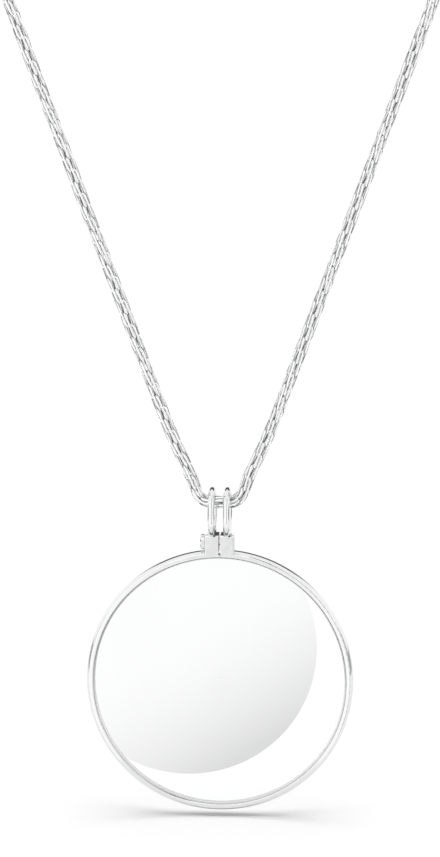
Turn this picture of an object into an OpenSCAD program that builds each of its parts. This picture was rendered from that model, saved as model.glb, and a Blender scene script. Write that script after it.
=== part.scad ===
// Round magnifying pendant on a tubular mesh chain, in millimetres.
// The origin is at the nape, in the middle of the clasp. The front faces -Y and +Z is up.

/* [Rim] */
// Outside diameter of the rim
rim_d = 45; // [30:0.5:60]
// Width of the rim's front face, from its outside to its opening
rim_wall = 1.2; // [1:0.05:2]
// Depth of the rim, front to back
rim_depth = 2.7; // [2.4:0.1:3.2]
// Radius of the rim's rounded edges
rim_round = 0.2; // [0.1:0.05:0.3]
// Radius of the rim's crowned outside, front to back
rim_crown_r = 2.1; // [2:0.1:6]

/* [Lens] */
// Radius of curvature of each face of the lens
lens_curve_r = 140; // [80:5:250]
// Thickness of the lens at its edge
lens_edge_t = 1.2; // [0.8:0.1:1.5]
// Depth that the edge of the lens reaches into the rim
lens_bite = 0.35; // [0.2:0.05:0.45]
// Clearance around the edge of the lens in its groove
lens_gap = 0.1; // [0.05:0.01:0.12]

/* [Closing block] */
// Width of the block over both halves
block_w = 5; // [4:0.1:6]
// Depth of the block, front to back
block_depth = 3.3; // [2.8:0.1:4]
// Height of the block above the rim
block_h = 2.7; // [2.4:0.1:4]
// Width of the saw seam between the two halves
seam_w = 0.3; // [0.2:0.05:0.6]
// Width of the closed split through the rim below the seam
split_w = 0.05; // [0.03:0.01:0.1]
// Diameter of the small hole where the seam ends in the rim
seam_end_d = 0.4; // [0.3:0.05:0.6]
// Radius along the front and back edges of the block's top
block_round = 0.5; // [0.2:0.05:0.8]
// Radius of the block's corners, seen from the front and from above
block_corner = 0.25; // [0.1:0.05:0.4]

/* [Closing screw] */
// Diameter of the screw head
screw_head_d = 2.6; // [1.6:0.1:2.7]
// Thickness of the screw head
screw_head_t = 0.7; // [0.5:0.05:1.2]
// Diameter of the screw shank
screw_d = 1.1; // [0.8:0.1:1.3]
// Length of the shank in the right half of the block
screw_grip = 1.1; // [0.6:0.1:1.2]
// Width of the driver slot
slot_w = 0.35; // [0.2:0.05:0.5]
// Depth of the driver slot
slot_depth = 0.3; // [0.15:0.05:0.4]
// Clearance around the screw
screw_gap = 0.05; // [0.03:0.01:0.1]

/* [Bail rings] */
// Outside diameter of a bail ring
ring_d = 8.75; // [7:0.05:12]
// Diameter of the round wire of a bail ring
ring_wire_d = 1.15; // [0.7:0.05:1.3]
// Depth that a bail ring is let into the block
ring_sink = 0.8; // [0.1:0.05:0.9]
// Distance between the middles of the two bail rings
ring_spacing = 2.55; // [2.2:0.05:3]

/* [Chain] */
// Diameter of the tubular chain
chain_d = 2.1; // [1.5:0.1:2.4]
// Gap between the chain and the top of each bail ring's hole
hang_gap = 0.4; // [0.2:0.05:0.6]

/* [Clasp] */
// Length of the clasp barrel
clasp_len = 12; // [9:0.5:16]
// Diameter of the clasp barrel
clasp_d = 4; // [3.4:0.1:6]
// Bevel at each end of the clasp barrel
clasp_bevel = 0.4; // [0.2:0.05:0.5]
// Depth of the socket that holds each end of the chain
socket_depth = 2; // [1:0.1:3]
// Clearance around the chain in its socket
socket_gap = 0.1; // [0.05:0.01:0.15]

/* [Hidden] */

EPS = 0.01;
$fn = 96;
WIRE_FN = 40;
LENS_FACE_FN = 720;
TUBE_SIDES = 8;
// The chain's bend starts this far inside the outer face of each bail ring
BEND_OVERLAP = 0.2;

SILVER = [0.86, 0.87, 0.88];
SCREW_STEEL = [0.72, 0.73, 0.75];
CLEAR_GLASS = [0.9, 0.95, 0.97, 0.35];

rim_r = rim_d / 2;
rim_in_r = rim_r - rim_wall;
rim_half_t = rim_depth / 2;
// The centre of each rounded outer edge of the rim, inside the crown
edge_y = rim_half_t - rim_round;
edge_r = rim_r - rim_crown_r + sqrt(pow(rim_crown_r - rim_round, 2) - edge_y * edge_y);
// How far from the middle of the rim's depth the crown runs, up to its rounded edges
crown_y = edge_y * rim_crown_r / (rim_crown_r - rim_round);
lens_r = rim_in_r + lens_bite;
lens_bulge = lens_curve_r - sqrt(lens_curve_r * lens_curve_r - lens_r * lens_r);
lens_half_t = lens_edge_t / 2 + lens_bulge;
groove_r = lens_r + lens_gap;
groove_w = lens_edge_t + 2 * lens_gap;

half_x = ring_spacing / 2;
block_top_z = rim_r + block_h;
// The block reaches down between the rim's outer edge and its groove
block_low_z = (edge_r + groove_r) / 2;

screw_head_r = screw_head_d / 2;
// The screw head clears the rim, which falls away to the side of the block
screw_z = sqrt(rim_r * rim_r - block_w * block_w / 4) + 2 * screw_gap + screw_head_r;
screw_head_x = -block_w / 2 - screw_gap;
screw_tip_x = seam_w / 2 + screw_grip;
screw_bevel = screw_head_t / 5;

ring_r = ring_d / 2;
ring_mid_r = ring_r - ring_wire_d / 2;
ring_in_r = ring_r - ring_wire_d;
ring_z = block_top_z - ring_sink + ring_r;

chain_r = chain_d / 2;
// Height of the chain's axis, where the pendant swings, above the centre of the rim
swing_z = ring_z + ring_in_r - hang_gap - chain_r;
// Where the chain starts to bend upwards, at the outer side of each bail ring
bend_x = half_x + ring_wire_d / 2 - BEND_OVERLAP;

socket_r = chain_r + socket_gap;
chain_end_x = clasp_len / 2 - socket_depth + socket_gap;

// Rings of the tube between two points of the route
RINGS_A_SPAN = 2;
// Never parallel to the chain, so that each ring of the tube can be squared to it
TUBE_REFERENCE = [-1, -1, 1];
START_DIRECTION = [1, 0, 0];
END_DIRECTION = [-1, 0, 0];

// The lowest point of the chain, on the axis that the pendant swings about
CHAIN_LOW = [0, -118, -236];

// Points of the right half of the chain, from between the bail rings to the clasp at the nape.
// The first ones follow the bail rings, and the last one follows the clasp.
CHAIN_ROUTE = [
    CHAIN_LOW,
    CHAIN_LOW + [bend_x, 0, 0],
    CHAIN_LOW + [bend_x + 0.85, 0, 0.18],
    CHAIN_LOW + [bend_x + 1.6, 0, 0.68],
    CHAIN_LOW + [bend_x + 2.15, 0, 1.4],
    [4.3, -118, -233.2],
    [5.2, -118, -230.8],
    [8.85, -118, -222.6],
    [16.35, -118, -202.4],
    [23.9, -118, -182],
    [38.4, -118, -142],
    [48, -113, -111],
    [56, -101, -77],
    [62, -83, -43],
    [65, -58, -13],
    [61, -33, 1.5],
    [45, -11, 4],
    [27, -2, 2],
    [15, -0.3, 0.5],
    [clasp_len / 2 + 2, 0, 0],
    [chain_end_x, 0, 0]
];

function unit(v) = v / norm(v);

// Catmull-Rom curve through p1 and p2, with p0 and p3 as their neighbours
function blend_at(p0, p1, p2, p3, t) =
    0.5 * (2 * p1 + (p2 - p0) * t
        + (2 * p0 - 5 * p1 + 4 * p2 - p3) * t * t
        + (3 * p1 - p0 - 3 * p2 + p3) * t * t * t);

function route_at(pts, span, t) =
    let (last = len(pts) - 1)
    blend_at(pts[max(span - 1, 0)], pts[span], pts[min(span + 1, last)], pts[min(span + 2, last)], t);

function route_points(pts, steps) = [
    for (span = [0 : len(pts) - 2])
        for (step = [0 : steps - 1])
            route_at(pts, span, step / steps),
    pts[len(pts) - 1]
];

function direction_at(line, i) =
    i == 0 ? START_DIRECTION
    : i == len(line) - 1 ? END_DIRECTION
    : unit(unit(line[i + 1] - line[i]) + unit(line[i] - line[i - 1]));

function tube_ring(centre, along, radius) =
    let (across = unit(cross(along, TUBE_REFERENCE)))
    let (over = cross(along, across))
    [
        for (k = [0 : TUBE_SIDES - 1])
            let (turn = 360 * k / TUBE_SIDES)
            centre + radius * (cos(turn) * across + sin(turn) * over)
    ];

// One round tube swept along a line of points
module tube(line, radius) {
    rings = len(line);
    points = [
        for (i = [0 : rings - 1])
            each tube_ring(line[i], direction_at(line, i), radius)
    ];
    walls = [
        for (i = [0 : rings - 2])
            for (k = [0 : TUBE_SIDES - 1])
                let (next = (k + 1) % TUBE_SIDES)
                let (low = i * TUBE_SIDES)
                let (high = low + TUBE_SIDES)
                [low + k, high + k, high + next, low + next]
    ];
    first_cap = [for (k = [0 : TUBE_SIDES - 1]) k];
    last_cap = [for (k = [TUBE_SIDES - 1 : -1 : 0]) (rings - 1) * TUBE_SIDES + k];
    polyhedron(points = points, faces = concat([first_cap], walls, [last_cap]), convexity = 8);
}

// Rectangle about the origin, whose corners are round above, and below too unless the foot is square
module round_rectangle(w, h, r, square_foot = false) {
    foot = square_foot ? 0 : r;
    translate([-w / 2, foot - h / 2])
        square([w, h - foot - r]);
    translate([r - w / 2, -h / 2])
        square([w - 2 * r, h]);
    for (x = [-1, 1], y = square_foot ? [1] : [-1, 1])
        translate([x * (w / 2 - r), y * (h / 2 - r)])
            circle(r = r, $fn = WIRE_FN);
}

// Puts what is drawn about the centre of the rim where the chain holds it
module hang() {
    translate(CHAIN_LOW - [0, 0, swing_z])
        children();
}

// Turns what is drawn about Z to lie about Y, from the front to the back
module face_front() {
    rotate([90, 0, 0])
        children();
}

// Section of the rim to the right of its axis: flat front and back, and a crowned outside
module rim_section() {
    translate([rim_in_r + (edge_r - rim_in_r) / 2, 0])
        square([edge_r - rim_in_r, 2 * edge_y], center = true);
    translate([rim_in_r + rim_round, -rim_half_t])
        square([edge_r - rim_in_r - rim_round, rim_depth]);
    for (y = [-1, 1]) {
        translate([rim_in_r + rim_round, y * edge_y])
            circle(r = rim_round, $fn = WIRE_FN);
        translate([edge_r, y * edge_y])
            circle(r = rim_round, $fn = WIRE_FN);
    }
    intersection() {
        translate([rim_r - rim_crown_r, 0])
            circle(r = rim_crown_r, $fn = LENS_FACE_FN);
        translate([edge_r, -crown_y])
            square([rim_crown_r, 2 * crown_y]);
    }
}

module rim_ring() {
    face_front()
        rotate_extrude($fn = 180)
            difference() {
                rim_section();
                translate([0, -groove_w / 2])
                    square([groove_r, groove_w]);
            }
}

// Closing block, before the seam parts it into its two halves
module block() {
    h = block_top_z - block_low_z;
    translate([0, 0, block_low_z + h / 2])
        intersection() {
            linear_extrude(height = h + EPS, center = true)
                round_rectangle(block_w, block_depth, block_corner);
            rotate([90, 0, 0])
                linear_extrude(height = block_depth + EPS, center = true)
                    round_rectangle(block_w, h, block_corner, square_foot = true);
            rotate([90, 0, 90])
                linear_extrude(height = block_w + EPS, center = true)
                    round_rectangle(block_depth, h, block_round, square_foot = true);
        }
}

module bail_ring(side) {
    translate([side * half_x, 0, ring_z])
        rotate([0, 90, 0])
            rotate_extrude()
                translate([ring_mid_r, 0])
                    circle(d = ring_wire_d, $fn = WIRE_FN);
}

// Saw seam through the block, closed split through the rim, and the small hole where they meet
module seam_cut() {
    split_low = rim_in_r - rim_round;
    translate([-seam_w / 2, -block_depth, block_low_z])
        cube([seam_w, 2 * block_depth, block_top_z - block_low_z + EPS]);
    translate([-split_w / 2, -block_depth, split_low])
        cube([split_w, 2 * block_depth, block_top_z - split_low]);
    translate([0, 0, block_low_z])
        face_front()
            cylinder(d = seam_end_d, h = 2 * block_depth, center = true, $fn = WIRE_FN);
}

module screw_bore() {
    translate([-block_w / 2 - EPS, 0, screw_z])
        rotate([0, 90, 0])
            cylinder(d = screw_d + 2 * screw_gap, h = screw_tip_x + screw_gap + block_w / 2 + EPS, $fn = WIRE_FN);
}

module frame() {
    color(SILVER)
        hang()
            difference() {
                union() {
                    rim_ring();
                    block();
                    for (side = [-1, 1])
                        bail_ring(side);
                }
                seam_cut();
                screw_bore();
            }
}

module lens() {
    color(CLEAR_GLASS)
        hang()
            face_front()
                rotate_extrude($fn = 180)
                    intersection() {
                        translate([0, lens_half_t - lens_curve_r])
                            circle(r = lens_curve_r, $fn = LENS_FACE_FN);
                        translate([0, lens_curve_r - lens_half_t])
                            circle(r = lens_curve_r, $fn = LENS_FACE_FN);
                        translate([0, -lens_half_t])
                            square([lens_r, 2 * lens_half_t]);
                    }
}

module closing_screw() {
    color(SCREW_STEEL)
        hang()
            translate([screw_head_x, 0, screw_z])
                difference() {
                    rotate([0, 90, 0])
                        rotate_extrude($fn = WIRE_FN)
                            polygon([
                                [0, -screw_head_t], [screw_head_r - screw_bevel, -screw_head_t],
                                [screw_head_r, screw_bevel - screw_head_t], [screw_head_r, 0],
                                [screw_d / 2, 0], [screw_d / 2, screw_tip_x - screw_head_x],
                                [0, screw_tip_x - screw_head_x]
                            ]);
                    translate([-screw_head_t - EPS, -screw_head_d, -slot_w / 2])
                        cube([slot_depth + EPS, 2 * screw_head_d, slot_w]);
                }
}

module chain_right() {
    color(SILVER)
        tube(route_points(CHAIN_ROUTE, RINGS_A_SPAN), chain_r);
}

module chain_left() {
    color(SILVER)
        mirror([1, 0, 0])
            tube(route_points(CHAIN_ROUTE, RINGS_A_SPAN), chain_r);
}

module clasp() {
    r = clasp_d / 2;
    end = clasp_len / 2;
    floor_x = end - socket_depth;
    color(SILVER)
        rotate([0, 90, 0])
            rotate_extrude($fn = WIRE_FN)
                polygon([
                    [0, -floor_x], [socket_r, -floor_x], [socket_r, -end], [r - clasp_bevel, -end],
                    [r, clasp_bevel - end], [r, end - clasp_bevel], [r - clasp_bevel, end],
                    [socket_r, end], [socket_r, floor_x], [0, floor_x]
                ]);
}

frame();
lens();
closing_screw();
chain_right();
chain_left();
clasp();
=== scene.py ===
import math

import bpy
import numpy as np
from bpy.props import FloatProperty, FloatVectorProperty, IntProperty, PointerProperty
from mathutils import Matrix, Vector


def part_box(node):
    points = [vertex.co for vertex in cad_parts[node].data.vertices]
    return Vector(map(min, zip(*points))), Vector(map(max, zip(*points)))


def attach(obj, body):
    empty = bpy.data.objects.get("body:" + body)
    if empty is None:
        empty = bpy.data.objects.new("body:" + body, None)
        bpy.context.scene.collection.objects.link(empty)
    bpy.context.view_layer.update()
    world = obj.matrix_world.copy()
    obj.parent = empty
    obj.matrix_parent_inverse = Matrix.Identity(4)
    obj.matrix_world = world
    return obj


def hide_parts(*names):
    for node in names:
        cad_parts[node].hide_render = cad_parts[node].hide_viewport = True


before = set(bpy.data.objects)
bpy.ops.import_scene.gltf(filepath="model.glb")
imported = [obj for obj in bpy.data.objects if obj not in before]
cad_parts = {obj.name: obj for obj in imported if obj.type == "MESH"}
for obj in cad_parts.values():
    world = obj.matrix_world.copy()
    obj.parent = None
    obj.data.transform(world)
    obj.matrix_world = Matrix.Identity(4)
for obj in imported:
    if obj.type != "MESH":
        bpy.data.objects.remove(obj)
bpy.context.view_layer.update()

bl_info = {
    "name": "Magnifier Pendant",
    "version": (1, 0, 0),
    "blender": (4, 5, 0),
    "location": "View3D > Sidebar > Pendant",
    "description": "Round magnifying pendant on a tubular mesh chain, with its studio",
    "category": "Object",
}

MM = 0.001

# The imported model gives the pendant's place
FRAME_LOW, FRAME_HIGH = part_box("frame")
RIM_RADIUS = (FRAME_HIGH.x - FRAME_LOW.x) / 2
RIM_CENTRE = Vector((0, (FRAME_LOW.y + FRAME_HIGH.y) / 2, FRAME_LOW.z + RIM_RADIUS))
RIM_TOP = RIM_CENTRE.z + RIM_RADIUS
LENS_LOW, LENS_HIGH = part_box("lens")
LENS_RADIUS = (LENS_HIGH.x - LENS_LOW.x) / 2
CHAIN_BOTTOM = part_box("chain_right")[0].z

# As in the part's source: how far the lens reaches into the rim, and how far the block rises above it
LENS_BITE = 0.35 * MM
BLOCK_HEIGHT = 2.7 * MM

# The route of the chain's right half, as in the part's source, in millimetres:
# from between the bail rings to the clasp at the nape
LOWEST = (0, -118, -236)
BEND_X = 1.65
CHAIN_END_X = 4.1
ROUTE_MM = [
    LOWEST,
    (BEND_X, -118, -236),
    (BEND_X + 0.85, -118, -235.82),
    (BEND_X + 1.6, -118, -235.32),
    (BEND_X + 2.15, -118, -234.6),
    (4.3, -118, -233.2),
    (5.2, -118, -230.8),
    (8.85, -118, -222.6),
    (16.35, -118, -202.4),
    (23.9, -118, -182),
    (38.4, -118, -142),
    (48, -113, -111),
    (56, -101, -77),
    (62, -83, -43),
    (65, -58, -13),
    (61, -33, 1.5),
    (45, -11, 4),
    (27, -2, 2),
    (15, -0.3, 0.5),
    (8, 0, 0),
    (CHAIN_END_X, 0, 0),
]
STEPS_A_SPAN = 32

# How deep in the inner half of each wire the painted shade starts, where 1 is the wire's innermost line
PAINTED_SHADE_START = 1 / 6

# Polished metal: how much its colour and roughness vary, and the size of its clouds and fine marks
COLOUR_SPREAD = 0.03
ROUGHNESS_SPREAD = 0.3
CLOUD_SCALE = 900.0
CLOUD_DETAIL = 3.0
CLOUD_RANGE = (0.3, 0.7)
MARK_SCALE = 6000.0
MARK_STRENGTH = 0.02
MARK_DEPTH = 0.02 * MM

# Painted shade: dark grey put on the silver in the saw seam, on the block's top between the bail rings'
# feet, and inside the chain, where shade falls
PAINTED_SHADE = (0.03, 0.0295, 0.029, 1)
PAINTED_SHADE_ROUGHNESS = 0.6
# How much of this painted shade shows in the saw seam and inside the chain
SEAM_SHADE = 0.5
CHAIN_SHADE = 0.5
# It fades out between each pair of distances from the middle plane
SEAM_HALF = (0.155 * MM, 0.17 * MM)
CREVICE_HALF = (0.8 * MM, 1.1 * MM)
# Heights between which it comes in from below, and for CREVICE_TOP fades out above the block
SEAM_FOOT = (RIM_TOP - 0.5 * MM, RIM_TOP - 0.3 * MM)
BLOCK_TOP = RIM_TOP + BLOCK_HEIGHT
CREVICE_FOOT = (BLOCK_TOP - 0.1 * MM, BLOCK_TOP - 0.03 * MM)
CREVICE_TOP = (BLOCK_TOP + 0.1 * MM, BLOCK_TOP + 0.5 * MM)

# The lens: faint smudges, the roughness of its ground edge, the dim shine of the glass,
# and how softly the ground edge begins
SMUDGE_SCALE = 120.0
SMUDGE_RANGE = (0.4, 0.7)
SMUDGE_ROUGHNESS = 0.01
GROUND_ROUGHNESS = (0.35, 0.5)
GLASS_SHINE = (0.05, 0.05, 0.05, 1)
EDGE_SOFT = 0.1 * MM
# Height above and below the rim's middle over which the ground edge's painted shade deepens towards the top
# and its painted glow fades out
EDGE_FADE = 7 * MM

# The white table: how far it reaches sideways, in front of the pendant and behind it
TABLE_SIDE = 150 * MM
TABLE_FRONT = 36 * MM
TABLE_BACK = 1600 * MM
# Air between the hanging pendant and the table
FLOOR_GAP = 0.95 * MM

# The studio that the metal mirrors. Rises are angles in degrees above the front horizon, over the top and
# on to the back. Sides are how far a direction points to the side, where 1 is straight left or right.
# Two numbers are where a change starts and ends. Three are where a band starts and ends, and how softly.
WINDOW_SIDE = (-0.078, -0.042, 0.008)
WINDOW_RISE = (-40, 30, 5)
GAP_SIDE = (0.2, 0.42, 0.02)
GAP_RISE = (-46, 76, 2)
OVERHEAD_RISE = (70, 134, 4)
DARK_RISE = (134, 162, 5)
DARK_SIDE = (0.45, 0.55)
BACKDROP_RISE = (159, 165)
BACKDROP_SIDE = (0.35, 0.5)
LOW_RISE = (-124, -116)
LOW_SIDE = (0.68, 0.76)
FLANK_SIDE = (0.925, 0.965)

# How wide the soft light from above looks from the table
TOP_LIGHT_WIDTH = math.radians(62)

# The light behind the lens: its distance behind it and its side
LENS_LIGHT_BACK = 5 * MM
LENS_LIGHT_SIDE = 60 * MM
# The grey disc in that light, how soft its edge is, and its brightness at the top left and lower right
GREY_DISC_X = -5.75 * MM
GREY_DISC_Z = 4.35 * MM
GREY_DISC_RADIUS = 21.3 * MM
GREY_DISC_SOFT = 0.06 * MM
GREY_DISC_LIGHT = 0.94
GREY_DISC_DARK = 0.12
# Which way the grey deepens, to the right and down; how far before the disc's middle it starts and over
# what length it deepens, both in radii of the disc; and how suddenly
GREY_ALONG = (0.545, -0.838)
GREY_START = 0.3
GREY_REACH = 1.25
GREY_POWER = 2.2

# The picture in pixels, where the middle of the rim lies in it, and the camera's sensor in millimetres
PICTURE_WIDTH = 440
PICTURE_HEIGHT = 857
RIM_IN_PICTURE = Vector((219.92, 679.8))
SENSOR_HEIGHT = 36


class ChainSizes(bpy.types.PropertyGroup):
    """Sizes of the woven rings that make the tubular chain."""

    rings: IntProperty(
        name="Rings in each half",
        description="Woven rings from between the bail rings to the clasp",
        default=166, min=20,
    )
    columns: IntProperty(
        name="Loops of a ring",
        description="Loops that each wavy ring reaches up with, round the chain",
        default=4, min=3,
    )
    wire_width: FloatProperty(
        name="Wire width", description="Width of the flattened wire",
        default=0.37 * MM, unit="LENGTH",
    )
    wire_thickness: FloatProperty(
        name="Wire thickness", description="Thickness of the flattened wire",
        default=0.20 * MM, unit="LENGTH",
    )
    wave_height: FloatProperty(
        name="Wave height", description="How far each loop reaches up and down",
        default=2.2 * MM, unit="LENGTH",
    )
    wave_depth: FloatProperty(
        name="Wave depth", description="How far each loop leans in and out",
        default=0.20 * MM, unit="LENGTH",
    )
    lean: FloatProperty(
        name="Lean", description="How round the loops are at their ends",
        default=0.15, subtype="FACTOR", min=0, max=1,
    )
    fullness: FloatProperty(
        name="Fullness", description="How square the wave is",
        default=0.3, subtype="FACTOR", min=0, max=1,
    )
    proud: FloatProperty(
        name="Proud", description="How far the links stand proud of the plain tube",
        default=0.07 * MM, unit="LENGTH",
    )
    twist: FloatProperty(
        name="Twist", description="Turn of the weave along a millimetre of chain",
        default=math.radians(2), subtype="ANGLE",
    )
    segments: IntProperty(
        name="Segments", description="Segments round each ring",
        default=80, min=24,
    )
    sides: IntProperty(
        name="Wire sides", description="Sides of the wire",
        default=6, min=5,
    )


class MetalFinish(bpy.types.PropertyGroup):
    """Colours of the metals and how polished they are."""

    silver: FloatVectorProperty(
        name="Silver", description="Colour of the rim, block, bail rings and clasp",
        default=(0.78, 0.782, 0.786), subtype="COLOR", min=0, max=1,
    )
    chain: FloatVectorProperty(
        name="Chain", description="Colour of the chain",
        default=(0.9, 0.902, 0.906), subtype="COLOR", min=0, max=1,
    )
    steel: FloatVectorProperty(
        name="Steel", description="Colour of the screw",
        default=(0.74, 0.742, 0.746), subtype="COLOR", min=0, max=1,
    )
    roughness: FloatProperty(
        name="Roughness", description="Roughness of the polished metal",
        default=0.07, subtype="FACTOR", min=0, max=1,
    )


class LensFinish(bpy.types.PropertyGroup):
    """Finish of the magnifying lens."""

    tint: FloatVectorProperty(
        name="Tint", description="Colour of the glass",
        default=(0.93, 0.932, 0.934), subtype="COLOR", min=0, max=1,
    )
    refraction: FloatProperty(
        name="Refraction", description="Index of refraction",
        default=1.5, min=1,
    )
    ground_edge: FloatProperty(
        name="Ground edge", description="Width of the ground edge that shows inside the rim",
        default=0.26 * MM, unit="LENGTH",
    )
    # Painted shade: how light the ground edge's colour stays at the top
    edge_shade: FloatProperty(
        name="Edge grey", description="Brightness of the ground edge at the top",
        default=0.6, subtype="FACTOR", min=0, max=1,
    )
    # Painted light: how strongly the ground edge glows at the bottom
    edge_painted_glow: FloatProperty(
        name="Edge glow", description="Light that the ground edge gives back at the bottom",
        default=0.15, min=0,
    )


class StudioLight(bpy.types.PropertyGroup):
    """Brightness of the studio."""

    plain: FloatProperty(
        name="Plain", description="Brightness of the white around the table",
        default=1.3, min=0,
    )
    fill: FloatProperty(
        name="Fill", description="Brightness of the even light on matt things",
        default=0.66, min=0,
    )
    top: FloatProperty(
        name="Top", description="Strength of the soft light from above on the table",
        default=2.05, min=0,
    )
    panels: FloatProperty(
        name="Panels", description="Brightness of the panels at the front",
        default=1.25, min=0,
    )
    window: FloatProperty(
        name="Window", description="Brightness of the window between the panels",
        default=0.96, min=0,
    )
    gap: FloatProperty(
        name="Gap", description="Brightness of the gap beside the right panel",
        default=0.05, min=0,
    )
    overhead: FloatProperty(
        name="Overhead", description="Brightness of the overhead soft box",
        default=1.1, min=0,
    )
    side: FloatProperty(
        name="Side", description="Brightness of the panels at the sides",
        default=1.15, min=0,
    )
    flank: FloatProperty(
        name="Flank", description="Brightness straight to the left and right",
        default=0.35, min=0,
    )
    backdrop: FloatProperty(
        name="Backdrop", description="Brightness of the backdrop",
        default=1.1, min=0,
    )
    dark: FloatProperty(
        name="Dark", description="Brightness of the dark room between the soft box and the backdrop",
        default=0.1, min=0,
    )
    low: FloatProperty(
        name="Low", description="Brightness low down in the middle",
        default=1.0, min=0,
    )
    under: FloatProperty(
        name="Under", description="Brightness low down beside the table",
        default=0.5, min=0,
    )
    floor: FloatProperty(
        name="Floor", description="Grey of the table",
        default=0.8, subtype="FACTOR", min=0, max=1,
    )
    # Painted shade: the table's grey is darker where the lens shows it
    floor_shade_through_lens: FloatProperty(
        name="Floor through the lens", description="Grey of the table as the lens shows it",
        default=0.56, subtype="FACTOR", min=0, max=1,
    )
    lens_glow: FloatProperty(
        name="Lens light", description="Brightness of the light behind the lens",
        default=0.35, min=0,
    )


class CameraPlace(bpy.types.PropertyGroup):
    """Where the camera stands."""

    azimuth: FloatProperty(
        name="Azimuth", description="Turn of the camera to the right of the front",
        default=math.radians(3.6), subtype="ANGLE",
    )
    elevation: FloatProperty(
        name="Elevation", description="Slope of the camera's line of sight",
        default=math.radians(10.5), subtype="ANGLE",
    )
    distance: FloatProperty(
        name="Distance", description="From the camera to the middle of the rim along its line of sight",
        default=700 * MM, unit="LENGTH",
    )
    lens: FloatProperty(
        name="Focal length", description="Focal length in millimetres for the sensor's height",
        default=174.67, unit="CAMERA",
    )


def new_tree(holder):
    """An empty node tree of a material, a world or a light."""
    holder.use_nodes = True
    holder.node_tree.nodes.clear()
    return holder.node_tree


def put(tree, socket, value):
    """Links a value to a socket, or sets it there."""
    if isinstance(value, bpy.types.NodeSocket):
        tree.links.new(value, socket)
    else:
        socket.default_value = value


def calc(tree, operation, a, b=0.0, clamp=False):
    """One math node."""
    node = tree.nodes.new("ShaderNodeMath")
    node.operation = operation
    node.use_clamp = clamp
    put(tree, node.inputs[0], a)
    put(tree, node.inputs[1], b)
    return node.outputs[0]


def ramp(tree, value, start, end, low=0.0, high=1.0):
    """A smooth change from low to high as value goes from start to end."""
    node = tree.nodes.new("ShaderNodeMapRange")
    node.interpolation_type = "SMOOTHSTEP"
    put(tree, node.inputs["Value"], value)
    node.inputs["From Min"].default_value = start
    node.inputs["From Max"].default_value = end
    node.inputs["To Min"].default_value = low
    node.inputs["To Max"].default_value = high
    return node.outputs["Result"]


def band(tree, value, start, end, soft):
    """One between start and end, and zero outside them."""
    up = ramp(tree, value, start - soft, start + soft)
    down = ramp(tree, value, end - soft, end + soft, 1.0, 0.0)
    return calc(tree, "MULTIPLY", up, down)


def blend(tree, low, high, factor, kind="FLOAT"):
    """low where factor is zero and high where it is one, of numbers or with RGBA of colours."""
    node = tree.nodes.new("ShaderNodeMix")
    node.data_type = kind
    put(tree, node.inputs["Factor"], factor)
    put(tree, node.inputs["A"], low)
    put(tree, node.inputs["B"], high)
    return node.outputs["Result"]


def split(tree, vector):
    """The x, y and z of a vector."""
    node = tree.nodes.new("ShaderNodeSeparateXYZ")
    put(tree, node.inputs[0], vector)
    return node.outputs


def place(tree, kind):
    """The point's coordinates of that kind, such as Object."""
    return tree.nodes.new("ShaderNodeTexCoord").outputs[kind]


def distance(tree, x, z):
    """How far a point lies from the origin in that plane."""
    squares = calc(tree, "ADD", calc(tree, "MULTIPLY", x, x), calc(tree, "MULTIPLY", z, z))
    return calc(tree, "SQRT", squares)


def noise(tree, vector, scale, detail=2.0):
    """Cloudy noise between zero and one."""
    node = tree.nodes.new("ShaderNodeTexNoise")
    node.inputs["Scale"].default_value = scale
    node.inputs["Detail"].default_value = detail
    put(tree, node.inputs["Vector"], vector)
    return node.outputs["Fac"]


def end_with(tree, kind, last):
    """Joins the tree's last shader to an output node of that kind."""
    output = tree.nodes.new(kind)
    tree.links.new(last.outputs[0], output.inputs["Surface"])


def polished_metal(name, colour, roughness, painted_shade=None):
    """Polished metal, faintly cloudy and marked, with painted shade where that function says."""
    material = bpy.data.materials.new(name)
    tree = new_tree(material)
    surface = tree.nodes.new("ShaderNodeBsdfPrincipled")
    end_with(tree, "ShaderNodeOutputMaterial", surface)
    surface.inputs["Metallic"].default_value = 1.0
    point = place(tree, "Object")
    cloud = noise(tree, point, CLOUD_SCALE, CLOUD_DETAIL)
    duller = (*[c * (1 - COLOUR_SPREAD) for c in colour], 1)
    brighter = (*[min(c * (1 + COLOUR_SPREAD), 1) for c in colour], 1)
    shade = blend(tree, duller, brighter, cloud, "RGBA")
    gloss = ramp(
        tree, cloud, *CLOUD_RANGE,
        roughness * (1 - ROUGHNESS_SPREAD), roughness * (1 + ROUGHNESS_SPREAD),
    )
    if painted_shade:
        shade_amount = painted_shade(tree, point)
        shade = blend(tree, shade, PAINTED_SHADE, shade_amount, "RGBA")
        gloss = blend(tree, gloss, PAINTED_SHADE_ROUGHNESS, shade_amount)
        put(tree, surface.inputs["Metallic"], calc(tree, "SUBTRACT", 1.0, shade_amount))
    put(tree, surface.inputs["Base Color"], shade)
    put(tree, surface.inputs["Roughness"], gloss)
    bump = tree.nodes.new("ShaderNodeBump")
    bump.inputs["Strength"].default_value = MARK_STRENGTH
    bump.inputs["Distance"].default_value = MARK_DEPTH
    put(tree, bump.inputs["Height"], noise(tree, point, MARK_SCALE))
    put(tree, surface.inputs["Normal"], bump.outputs["Normal"])
    return material


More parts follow.
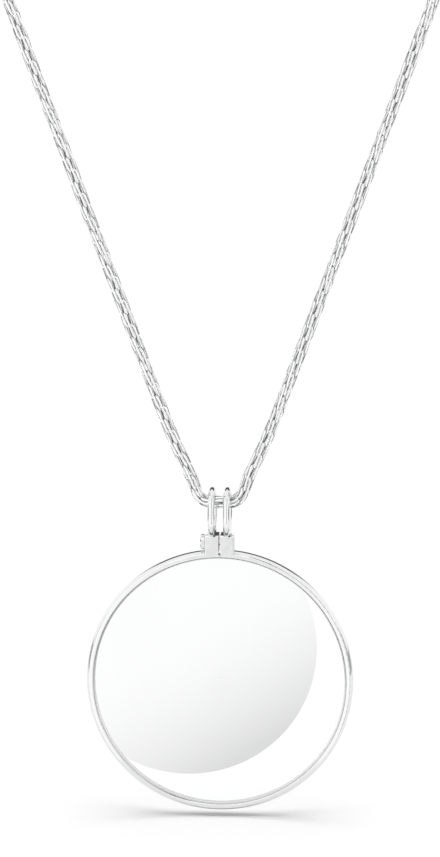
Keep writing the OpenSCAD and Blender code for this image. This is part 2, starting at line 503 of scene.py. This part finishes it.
def frame_painted_shade(tree, point):
    """Painted shade in the saw seam, and on the block's top between the feet of the bail rings."""
    x, _, z = split(tree, point)
    aside = calc(tree, "ABSOLUTE", x)
    seam = calc(
        tree, "MULTIPLY",
        ramp(tree, aside, *SEAM_HALF, 1.0, 0.0),
        ramp(tree, z, *SEAM_FOOT, 0.0, SEAM_SHADE),
    )
    crevice = calc(
        tree, "MULTIPLY",
        ramp(tree, aside, *CREVICE_HALF, 1.0, 0.0),
        ramp(tree, z, *CREVICE_FOOT),
    )
    low = ramp(tree, z, *CREVICE_TOP, 1.0, 0.0)
    return calc(tree, "MAXIMUM", seam, calc(tree, "MULTIPLY", crevice, low))


def chain_painted_shade(tree, point):
    """Painted shade inside the woven tube, where the mesh says."""
    node = tree.nodes.new("ShaderNodeAttribute")
    node.attribute_name = "inside"
    return calc(tree, "MULTIPLY", node.outputs["Fac"], CHAIN_SHADE)


def lens_glass(finish):
    """Clear glass, with its ground edge just inside the rim, given painted shade at the top and a painted
    glow at the bottom.
    """
    material = bpy.data.materials.new("lens_glass")
    tree = new_tree(material)
    point = place(tree, "Object")
    smudge = noise(tree, point, SMUDGE_SCALE)
    glass = tree.nodes.new("ShaderNodeBsdfPrincipled")
    glass.inputs["Base Color"].default_value = (*finish.tint, 1)
    glass.inputs["Transmission Weight"].default_value = 1.0
    glass.inputs["IOR"].default_value = finish.refraction
    glass.inputs["Specular Tint"].default_value = GLASS_SHINE
    put(tree, glass.inputs["Roughness"], ramp(tree, smudge, *SMUDGE_RANGE, 0.0, SMUDGE_ROUGHNESS))
    ground = tree.nodes.new("ShaderNodeBsdfPrincipled")
    put(tree, ground.inputs["Roughness"], ramp(tree, smudge, *CLOUD_RANGE, *GROUND_ROUGHNESS))
    x, _, z = split(tree, point)
    z = calc(tree, "SUBTRACT", z, RIM_CENTRE.z)
    # Painted shade and painted light: the ground edge's colour is darker at the top, where the rim would
    # shade it, and it glows below, in place of light that comes down through the glass
    high = ramp(tree, z, -EDGE_FADE, EDGE_FADE)
    put(tree, ground.inputs["Base Color"], blend(tree, 1.0, finish.edge_shade, high))
    put(tree, ground.inputs["Emission Strength"], blend(tree, finish.edge_painted_glow, 0.0, high))
    inner = LENS_RADIUS - LENS_BITE - finish.ground_edge
    edge = ramp(tree, distance(tree, x, z), inner - EDGE_SOFT, inner + EDGE_SOFT)
    mixed = tree.nodes.new("ShaderNodeMixShader")
    put(tree, mixed.inputs["Fac"], edge)
    put(tree, mixed.inputs[1], glass.outputs[0])
    put(tree, mixed.inputs[2], ground.outputs[0])
    end_with(tree, "ShaderNodeOutputMaterial", mixed)
    return material


def paint(thing, material):
    """Gives a mesh object this material alone."""
    thing.data.materials.clear()
    thing.data.materials.append(material)


def add_thing(name, data, shown_to=None):
    """A new object in the scene. A lamp lights only the object that it is shown to, if one is named."""
    thing = bpy.data.objects.new(name, data)
    bpy.context.scene.collection.objects.link(thing)
    if shown_to:
        lit = bpy.data.collections.new("lit_by_" + name)
        lit.objects.link(shown_to)
        thing.light_linking.receiver_collection = lit
    return thing


def add_mesh(name, points, faces, smooth=True):
    """A new mesh object from points and faces in metres."""
    mesh = bpy.data.meshes.new(name)
    mesh.from_pydata([tuple(p) for p in points], [], [tuple(f) for f in faces])
    mesh.validate()
    mesh.update()
    if smooth:
        mesh.shade_smooth()
    return add_thing(name, mesh)


def catmull_rom(points, steps):
    """Points along a uniform Catmull-Rom curve, with each end point repeated."""
    p = np.array([points[0], *points, points[-1]], float)
    t = np.linspace(0, 1, steps, endpoint=False)[:, None]
    spans = []
    for i in range(len(points) - 1):
        a, b, c, d = p[i:i + 4]
        spans.append(0.5 * (
            2 * b + (c - a) * t
            + (2 * a - 5 * b + 4 * c - d) * t ** 2
            + (3 * b - a - 3 * c + d) * t ** 3
        ))
    return np.vstack([*spans, p[-1:]])


def unit_rows(rows):
    """The rows made one long."""
    return rows / np.linalg.norm(rows, axis=1)[:, None]


class Route:
    """The whole chain's line, from the clasp's left end round to its right, with directions square to it."""

    def __init__(self):
        right = catmull_rom(ROUTE_MM, STEPS_A_SPAN) * MM
        left = (right * (-1, 1, 1))[::-1]
        self.points = np.vstack([left[:-1], right])
        self.middle = len(left) - 1
        steps = np.linalg.norm(np.diff(self.points, axis=0), axis=1)
        length = np.concatenate([[0], np.cumsum(steps)])
        self.half = length[-1] / 2
        self.s = length - length[self.middle]
        self.along = unit_rows(np.gradient(self.points, self.s, axis=0))
        self.out = self.carry(np.array([0.0, -1.0, 0.0]))
        self.over = np.cross(self.along, self.out)

    def carry(self, first):
        """A direction square to the line, carried both ways from its middle without twisting."""
        out = np.zeros_like(self.points)
        out[self.middle] = first
        for way in (1, -1):
            i = self.middle
            while 0 <= i + way < len(out):
                old = out[i]
                i += way
                new = old - (old @ self.along[i]) * self.along[i]
                out[i] = new / np.linalg.norm(new)
        return out

    def at(self, s, rows):
        """The rows between their points, at distances s along the line."""
        return np.stack([np.interp(s, self.s, rows[:, i]) for i in range(3)], axis=1)


def wavy_ring(sizes, outer_radius):
    """One woven ring about Z, as section points of shape (segments, sides, 3)."""
    n = sizes.columns
    u = np.linspace(0, 2 * math.pi, sizes.segments, endpoint=False)
    q = n * u
    turn = u + sizes.lean / n * np.sin(2 * q)
    wave = np.cos(q)
    height = sizes.wave_height * (
        (1 - sizes.fullness) * wave + sizes.fullness * np.sin(math.pi / 2 * wave)
    )
    radius = outer_radius - sizes.wire_thickness / 2 - sizes.wave_depth * (1 - np.sin(q))
    centre = np.stack([radius * np.cos(turn), radius * np.sin(turn), height], axis=1)
    along = unit_rows(np.roll(centre, -1, axis=0) - np.roll(centre, 1, axis=0))
    outward = np.stack([np.cos(turn), np.sin(turn), 0 * turn], axis=1)
    across = unit_rows(np.cross(along, outward))
    over = np.cross(across, along)
    a = np.linspace(0, 2 * math.pi, sizes.sides, endpoint=False)
    wide = np.cos(a)[None, :, None] * sizes.wire_width / 2
    thick = np.sin(a)[None, :, None] * sizes.wire_thickness / 2
    return centre[:, None] + wide * across[:, None] + thick * over[:, None]


def painted_shade_share(section, sizes):
    """How much painted shade each point of a ring's section has, on the side of the wire inside the tube."""
    radius = np.hypot(section[..., 0], section[..., 1])
    middle = radius.mean(axis=1, keepdims=True)
    depth = (middle - radius) / (sizes.wire_thickness / 2)
    return np.clip((depth - PAINTED_SHADE_START) / (1 - PAINTED_SHADE_START), 0, 1)


def ring_faces(segments, sides):
    """The four-sided faces of one ring, as numbers of its section points."""
    i, j = np.meshgrid(np.arange(segments), np.arange(sides), indexing="ij")
    i2, j2 = (i + 1) % segments, (j + 1) % sides
    corners = [i * sides + j, i2 * sides + j, i2 * sides + j2, i * sides + j2]
    return np.stack(corners, axis=-1).reshape(-1, 4)


def woven_chain(name, route, sizes, numbers, outer_radius):
    """The woven rings with these numbers, counted from the middle of the route, as one mesh."""
    reach = sizes.wave_height + sizes.wire_width / 2
    pitch = (route.half - reach) / (sizes.rings - 0.5)
    section = wavy_ring(sizes, outer_radius)
    inside = painted_shade_share(section, sizes).reshape(-1)
    section = section.reshape(-1, 3)
    faces = ring_faces(sizes.segments, sizes.sides)
    points, all_faces = [], []
    for k in numbers:
        s = (k + 0.5) * pitch + section[:, 2]
        turn = k * math.pi / sizes.columns + sizes.twist * s / MM
        x = section[:, 0] * np.cos(turn) - section[:, 1] * np.sin(turn)
        y = section[:, 0] * np.sin(turn) + section[:, 1] * np.cos(turn)
        all_faces.append(faces + len(points) * len(section))
        points.append(
            route.at(s, route.points)
            + x[:, None] * route.at(s, route.out)
            + y[:, None] * route.at(s, route.over)
        )
    weave = add_mesh(name, np.vstack(points), np.vstack(all_faces).tolist())
    layer = weave.data.attributes.new("inside", "FLOAT", "POINT")
    layer.data.foreach_set("value", np.tile(inside, len(points)))
    return weave


def add_floor(light):
    """A white table just under the hanging pendant."""
    z = FRAME_LOW.z - FLOOR_GAP
    front, back = RIM_CENTRE.y - TABLE_FRONT, RIM_CENTRE.y + TABLE_BACK
    corners = [
        (-TABLE_SIDE, front, z),
        (TABLE_SIDE, front, z),
        (TABLE_SIDE, back, z),
        (-TABLE_SIDE, back, z),
    ]
    floor = add_mesh("floor", corners, [(0, 1, 2, 3)], smooth=False)
    material = bpy.data.materials.new("floor_white")
    tree = new_tree(material)
    surface = tree.nodes.new("ShaderNodeBsdfPrincipled")
    end_with(tree, "ShaderNodeOutputMaterial", surface)
    # Painted shade: the table is darker in rays that come through the lens, so the lens shows it grey
    through = tree.nodes.new("ShaderNodeLightPath").outputs["Is Transmission Ray"]
    put(tree, surface.inputs["Base Color"], blend(tree, light.floor, light.floor_shade_through_lens, through))
    surface.inputs["Roughness"].default_value = 1.0
    surface.inputs["Specular IOR Level"].default_value = 0.0
    paint(floor, material)
    return floor


def mirrored_studio(tree, light):
    """Brightness of the panels, soft box and dark room, in the direction that the metal mirrors."""
    x, y, z = split(tree, place(tree, "Generated"))
    front = calc(tree, "MULTIPLY", y, -1.0)
    rise = calc(tree, "MULTIPLY", calc(tree, "ARCTAN2", z, front), math.degrees(1))
    aside = calc(tree, "ABSOLUTE", x)
    window = calc(tree, "MULTIPLY", band(tree, x, *WINDOW_SIDE), band(tree, rise, *WINDOW_RISE))
    shine = blend(tree, light.panels, light.window, window)
    shine = blend(tree, shine, light.overhead, band(tree, rise, *OVERHEAD_RISE))
    gap = calc(tree, "MULTIPLY", band(tree, x, *GAP_SIDE), band(tree, rise, *GAP_RISE))
    shine = blend(tree, shine, light.gap, gap)
    backdrop = blend(tree, light.backdrop, light.side, ramp(tree, aside, *BACKDROP_SIDE))
    shine = blend(tree, shine, backdrop, ramp(tree, rise, *BACKDROP_RISE))
    under = blend(tree, light.low, light.under, ramp(tree, aside, *LOW_SIDE))
    shine = blend(tree, shine, under, ramp(tree, rise, *LOW_RISE, 1.0, 0.0))
    room = blend(tree, light.dark, light.side, ramp(tree, aside, *DARK_SIDE))
    shine = blend(tree, shine, room, band(tree, rise, *DARK_RISE))
    return blend(tree, shine, light.flank, ramp(tree, aside, *FLANK_SIDE))


def add_world(light):
    """White to look at, even light for matt things, and a photographer's studio for what mirrors it."""
    world = bpy.data.worlds.new("studio")
    bpy.context.scene.world = world
    world.cycles.sampling_method = "NONE"
    tree = new_tree(world)
    shine = mirrored_studio(tree, light)
    path = tree.nodes.new("ShaderNodeLightPath")
    even = blend(tree, light.plain, light.fill, path.outputs["Is Diffuse Ray"])
    background = tree.nodes.new("ShaderNodeBackground")
    background.inputs["Color"].default_value = (1, 1, 1, 1)
    put(tree, background.inputs["Strength"], blend(tree, even, shine, path.outputs["Is Glossy Ray"]))
    end_with(tree, "ShaderNodeOutputWorld", background)


def add_top_light(light, floor):
    """A wide soft light from above that lights the table alone, and so deepens the pendant's shadow."""
    lamp = bpy.data.lights.new("top_light", "SUN")
    lamp.angle = TOP_LIGHT_WIDTH
    lamp.energy = light.top
    add_thing("top_light", lamp, shown_to=floor)


def add_lens_light(light):
    """A panel behind the lens that only the lens shows, dimmer in a disc that darkens to the lower right."""
    lamp = bpy.data.lights.new("lens_light", "AREA")
    lamp.shape = "SQUARE"
    lamp.size = LENS_LIGHT_SIDE
    lamp.energy = math.pi * LENS_LIGHT_SIDE ** 2 * light.lens_glow
    tree = new_tree(lamp)
    u, v, _ = split(tree, place(tree, "UV"))
    x = calc(tree, "MULTIPLY", calc(tree, "SUBTRACT", u, 0.5), LENS_LIGHT_SIDE)
    z = calc(tree, "MULTIPLY", calc(tree, "SUBTRACT", 0.5, v), LENS_LIGHT_SIDE)
    x = calc(tree, "SUBTRACT", x, GREY_DISC_X)
    z = calc(tree, "SUBTRACT", z, GREY_DISC_Z)
    edge = (GREY_DISC_RADIUS - GREY_DISC_SOFT, GREY_DISC_RADIUS + GREY_DISC_SOFT)
    outside = ramp(tree, distance(tree, x, z), *edge)
    right = calc(tree, "MULTIPLY", x, GREY_ALONG[0])
    down = calc(tree, "MULTIPLY", z, GREY_ALONG[1])
    along = calc(tree, "DIVIDE", calc(tree, "ADD", right, down), GREY_DISC_RADIUS * GREY_REACH)
    depth = calc(tree, "ADD", along, GREY_START / GREY_REACH, clamp=True)
    inside = blend(tree, GREY_DISC_LIGHT, GREY_DISC_DARK, calc(tree, "POWER", depth, GREY_POWER))
    glow = tree.nodes.new("ShaderNodeEmission")
    put(tree, glow.inputs["Strength"], blend(tree, inside, 1.0, outside))
    end_with(tree, "ShaderNodeOutputLight", glow)
    thing = add_thing("lens_light", lamp, shown_to=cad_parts["lens"])
    thing.location = RIM_CENTRE + Vector((0, LENS_LIGHT_BACK, 0))
    thing.rotation_euler = (math.radians(-90), 0, 0)
    thing.visible_camera = False


def add_camera(spot):
    """The camera, at the photograph's angle to the pendant."""
    camera = bpy.data.cameras.new("camera")
    camera.sensor_fit = "VERTICAL"
    camera.sensor_height = SENSOR_HEIGHT
    camera.lens = spot.lens
    camera.clip_start = 10 * MM
    camera.clip_end = 20
    thing = add_thing("camera", camera)
    rise, turn = spot.elevation, spot.azimuth
    back = Vector((math.sin(turn) * math.cos(rise), -math.cos(turn) * math.cos(rise), math.sin(rise)))
    thing.rotation_euler = back.to_track_quat("Z", "Y").to_euler()
    right = Vector((math.cos(turn), math.sin(turn), 0))
    up = back.cross(right)
    pixel = spot.distance / (spot.lens / SENSOR_HEIGHT * PICTURE_HEIGHT)
    shift = (RIM_IN_PICTURE - Vector((PICTURE_WIDTH / 2, PICTURE_HEIGHT / 2))) * pixel
    thing.location = RIM_CENTRE + back * spot.distance - right * shift.x + up * shift.y
    bpy.context.scene.camera = thing
    bpy.context.scene.view_settings.view_transform = "Standard"


class PENDANT_OT_frame(bpy.types.Operator):
    """Finish the rim, closing block and bail rings"""

    bl_idname = "pendant.frame"
    bl_label = "Frame"

    def execute(self, context):
        finish = context.scene.pendant_metal
        # The silver gets painted shade in the saw seam and on the block's top between the bail rings' feet
        silver = polished_metal("polished_silver", finish.silver, finish.roughness, frame_painted_shade)
        paint(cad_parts["frame"], silver)
        return {"FINISHED"}


class PENDANT_OT_screw(bpy.types.Operator):
    """Finish the closing screw"""

    bl_idname = "pendant.screw"
    bl_label = "Closing screw"

    def execute(self, context):
        finish = context.scene.pendant_metal
        paint(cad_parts["closing_screw"], polished_metal("screw_steel", finish.steel, finish.roughness))
        return {"FINISHED"}


class PENDANT_OT_lens(bpy.types.Operator):
    """Finish the magnifying lens"""

    bl_idname = "pendant.lens"
    bl_label = "Lens"

    def execute(self, context):
        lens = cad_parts["lens"]
        paint(lens, lens_glass(context.scene.pendant_lens))
        # Light passes through clear glass, so it casts no shadow on the table
        lens.visible_diffuse = False
        lens.visible_shadow = False
        return {"FINISHED"}


class PENDANT_OT_chain(bpy.types.Operator):
    """Weave both halves of the tubular chain"""

    bl_idname = "pendant.chain"
    bl_label = "Chain"

    def execute(self, context):
        sizes = context.scene.pendant_chain
        finish = context.scene.pendant_metal
        route = Route()
        outer_radius = LOWEST[2] * MM - CHAIN_BOTTOM + sizes.proud
        # The chain's silver gets painted shade on the wires' sides inside the tube
        material = polished_metal("chain_silver", finish.chain, finish.roughness, chain_painted_shade)
        halves = {
            "chain_right": range(sizes.rings),
            "chain_left": range(-sizes.rings, 0),
        }
        for node, numbers in halves.items():
            weave = woven_chain(node + "_weave", route, sizes, numbers, outer_radius)
            paint(weave, material)
            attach(weave, "necklace")
            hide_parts(node)
        return {"FINISHED"}


class PENDANT_OT_clasp(bpy.types.Operator):
    """Finish the clasp at the nape"""

    bl_idname = "pendant.clasp"
    bl_label = "Clasp"

    def execute(self, context):
        finish = context.scene.pendant_metal
        paint(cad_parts["clasp"], polished_metal("clasp_silver", finish.silver, finish.roughness))
        return {"FINISHED"}


class PENDANT_OT_stage(bpy.types.Operator):
    """Set the table, the studio light and the camera"""

    bl_idname = "pendant.stage"
    bl_label = "Stage"

    def execute(self, context):
        light = context.scene.pendant_light
        floor = add_floor(light)
        add_world(light)
        add_top_light(light, floor)
        add_lens_light(light)
        add_camera(context.scene.pendant_camera)
        return {"FINISHED"}


class PENDANT_PT_panel(bpy.types.Panel):
    """The pendant's pieces and its studio"""

    bl_label = "Magnifier Pendant"
    bl_idname = "PENDANT_PT_panel"
    bl_space_type = "VIEW_3D"
    bl_region_type = "UI"
    bl_category = "Pendant"

    def draw(self, context):
        column = self.layout.column()
        for operator in OPERATORS:
            column.operator(operator.bl_idname)
        for name in SETTINGS:
            box = self.layout.box()
            group = getattr(context.scene, name)
            for key in group.bl_rna.properties.keys():
                if key not in ("rna_type", "name"):
                    box.prop(group, key)


OPERATORS = (
    PENDANT_OT_stage,
    PENDANT_OT_frame,
    PENDANT_OT_lens,
    PENDANT_OT_screw,
    PENDANT_OT_chain,
    PENDANT_OT_clasp,
)
SETTINGS = {
    "pendant_chain": ChainSizes,
    "pendant_metal": MetalFinish,
    "pendant_lens": LensFinish,
    "pendant_light": StudioLight,
    "pendant_camera": CameraPlace,
}


def register():
    """Adds the settings, the operators and the panel."""
    for cls in (*SETTINGS.values(), *OPERATORS, PENDANT_PT_panel):
        bpy.utils.register_class(cls)
    for name, cls in SETTINGS.items():
        setattr(bpy.types.Scene, name, PointerProperty(type=cls))


def unregister():
    """Takes them away again."""
    for name in SETTINGS:
        delattr(bpy.types.Scene, name)
    for cls in (PENDANT_PT_panel, *reversed(OPERATORS), *reversed(list(SETTINGS.values()))):
        bpy.utils.unregister_class(cls)


def main():
    """Builds the dressed pendant and its stage."""
    register()
    bpy.ops.pendant.stage()
    bpy.ops.pendant.frame()
    bpy.ops.pendant.lens()
    bpy.ops.pendant.screw()
    bpy.ops.pendant.chain()
    bpy.ops.pendant.clasp()
    bpy.context.view_layer.update()


if __name__ == "__main__":
    main()
